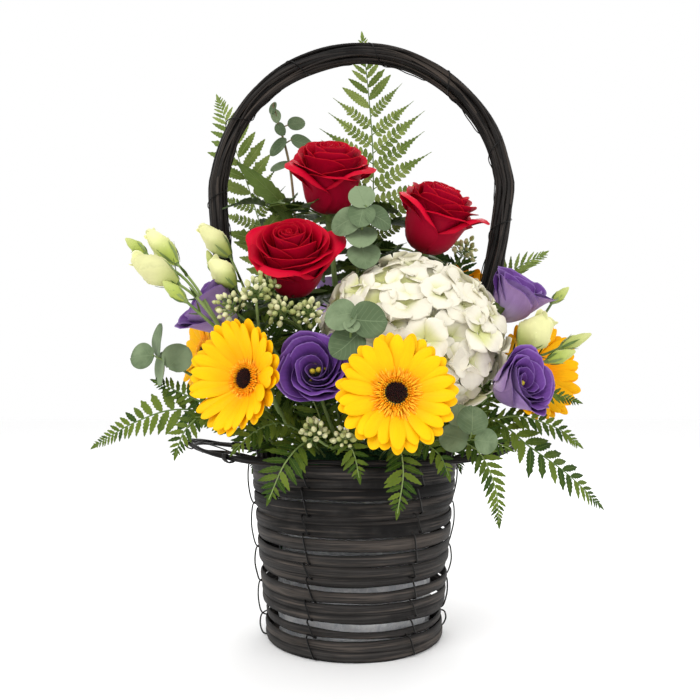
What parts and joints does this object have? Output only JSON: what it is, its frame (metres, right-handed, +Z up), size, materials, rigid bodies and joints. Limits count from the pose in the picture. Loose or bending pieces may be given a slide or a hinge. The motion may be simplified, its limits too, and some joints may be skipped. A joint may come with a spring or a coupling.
{
  "type": "flower basket arrangement",
  "caption": "Black splint basket with an arched vine handle, filled with roses, gerberas, lisianthus, hydrangea, buds, eucalyptus and fern set in floral foam.",
  "frame": {"origin": "centre of the base board's underside", "axes": "+Z up, -Y towards the front of the arrangement, +X to the front viewer's right, across the arch of the handle"},
  "size_m": [0.3842, 0.2164, 0.4734],
  "materials": {
    "splint_wood": "black-stained wood splint, satin with lighter grain streaks",
    "vine_wood": "black-stained vine, matte",
    "lacing_wire": "black enamelled wire, satin",
    "liner_film": "clear crinkled film, glossy",
    "floral_foam": "water-soaked floral foam, matte dark green",
    "rose_petals": "deep red velvety petals",
    "gerbera_petals": "bright yellow ray petals round a near-black centre",
    "lisianthus_petals": "purple silky petals, paler mauve outside",
    "hydrangea_petals": "white florets with green-cream centres",
    "bud_petals": "pale green-cream buds on green stems",
    "skimmia_beads": "cream-green bead-like buds",
    "eucalyptus_leaves": "dusty grey-green round leaves",
    "foliage_green": "mid-green fern fronds, stems and leaves"
  },
  "bodies": {
    "root": {"base_board": "splint_wood", "hoop_rim": "splint_wood", "hoop_2": "splint_wood", "hoop_3": "splint_wood", "hoop_4": "splint_wood", "hoop_5": "splint_wood", "hoop_6": "splint_wood", "hoop_7": "splint_wood", "hoop_8": "splint_wood", "hoop_base": "splint_wood", "inner_hoop_upper": "splint_wood", "inner_hoop_middle": "splint_wood", "inner_hoop_lower": "splint_wood", "lacing_1": "lacing_wire", "lacing_2": "lacing_wire", "lacing_3": "lacing_wire", "lacing_4": "lacing_wire", "lacing_5": "lacing_wire", "lacing_6": "lacing_wire", "handle_binding": "lacing_wire", "brim": "vine_wood", "handle": "vine_wood", "liner": "liner_film", "foam": "floral_foam", "rose_top": "rose_petals", "rose_left": "rose_petals", "rose_right": "rose_petals", "gerbera_front": "gerbera_petals", "gerbera_left": "gerbera_petals", "gerbera_right": "gerbera_petals", "gerbera_left_rear": "gerbera_petals", "gerbera_right_rear": "gerbera_petals", "lisianthus_front": "lisianthus_petals", "lisianthus_left": "lisianthus_petals", "lisianthus_right_upper": "lisianthus_petals", "lisianthus_right_lower": "lisianthus_petals", "lisianthus_rear": "lisianthus_petals", "hydrangea": "hydrangea_petals", "buds_left": "bud_petals", "buds_left_inner": "bud_petals", "buds_right": "bud_petals", "skimmia_left": "skimmia_beads", "skimmia_middle": "skimmia_beads", "skimmia_front": "skimmia_beads", "skimmia_rear": "skimmia_beads", "eucalyptus_centre": "eucalyptus_leaves", "eucalyptus_front": "eucalyptus_leaves", "eucalyptus_left": "eucalyptus_leaves", "eucalyptus_right": "eucalyptus_leaves", "eucalyptus_rear": "eucalyptus_leaves", "fern_top": "foliage_green", "fern_top_left": "foliage_green", "fern_left": "foliage_green", "fern_front_left": "foliage_green", "fern_front": "foliage_green", "fern_front_right": "foliage_green", "fern_right": "foliage_green", "fern_rear_left": "foliage_green", "fern_rear_right": "foliage_green", "leaf_left": "foliage_green"}
  },
  "joints": []
}
